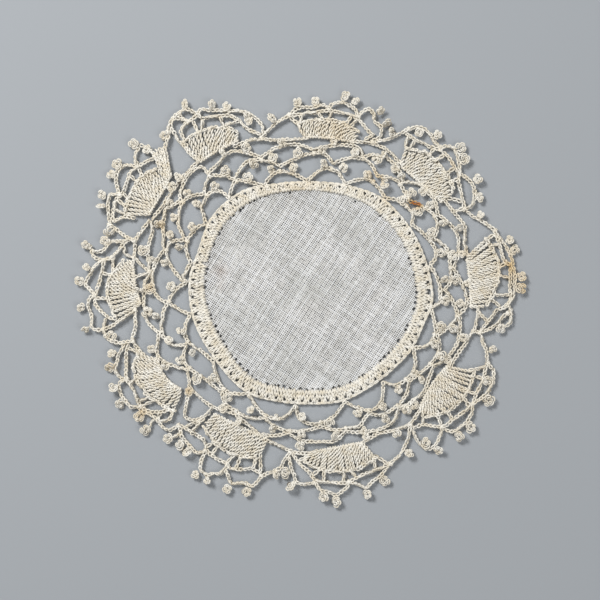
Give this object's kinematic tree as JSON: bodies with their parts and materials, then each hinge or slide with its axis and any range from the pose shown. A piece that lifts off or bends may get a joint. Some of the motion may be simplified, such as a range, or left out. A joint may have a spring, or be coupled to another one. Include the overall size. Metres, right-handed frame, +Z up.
{
  "type": "lace doily",
  "caption": "Round doily with a plain-woven linen centre in a wide openwork crocheted cotton edging of picot arches and fans, lying flat.",
  "frame": {"origin": "middle of the doily's outline, on the surface it lies on", "axes": "+Z up, away from the surface, through the cloth's thickness; +X along its widest extent, to the right as it is seen from above"},
  "size_m": [0.1504, 0.1378, 0.0021],
  "materials": {
    "linen": "matt, plain-woven, slightly slubby",
    "cotton": "soft sheen, crocheted thread"
  },
  "bodies": {
    "root": {"linen_centre": "linen", "crochet_edging": "cotton"}
  },
  "joints": []
}
